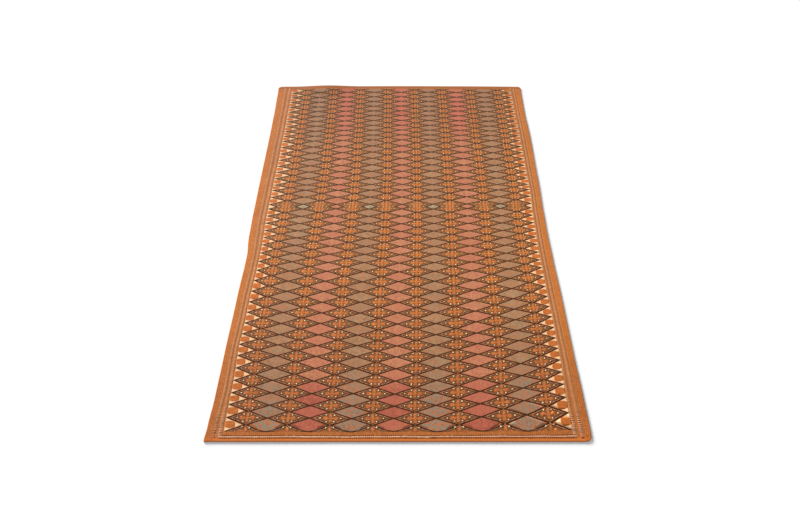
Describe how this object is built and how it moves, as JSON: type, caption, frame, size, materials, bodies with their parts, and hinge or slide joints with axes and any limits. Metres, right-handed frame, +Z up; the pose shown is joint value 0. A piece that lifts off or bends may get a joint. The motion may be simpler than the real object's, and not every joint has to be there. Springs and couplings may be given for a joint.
{
  "type": "kilim rug",
  "caption": "Flat-woven wool kilim rug: a thin rectangular sheet with gently drifting sides, rounded corners and a low ripple lifting its far end.",
  "frame": {"origin": "centre of the rug's plan, on the floor it lies on", "axes": "+Y along the length towards the end with the ripple, +X to the right, +Z up out of the patterned face"},
  "size_m": [1.3175, 2.395, 0.01],
  "materials": {
    "wool_flatweave": "matte brocaded wool flatweave in orange, salmon, taupe and dark brown"
  },
  "bodies": {
    "root": {"kilim_rug": "wool_flatweave"}
  },
  "joints": []
}
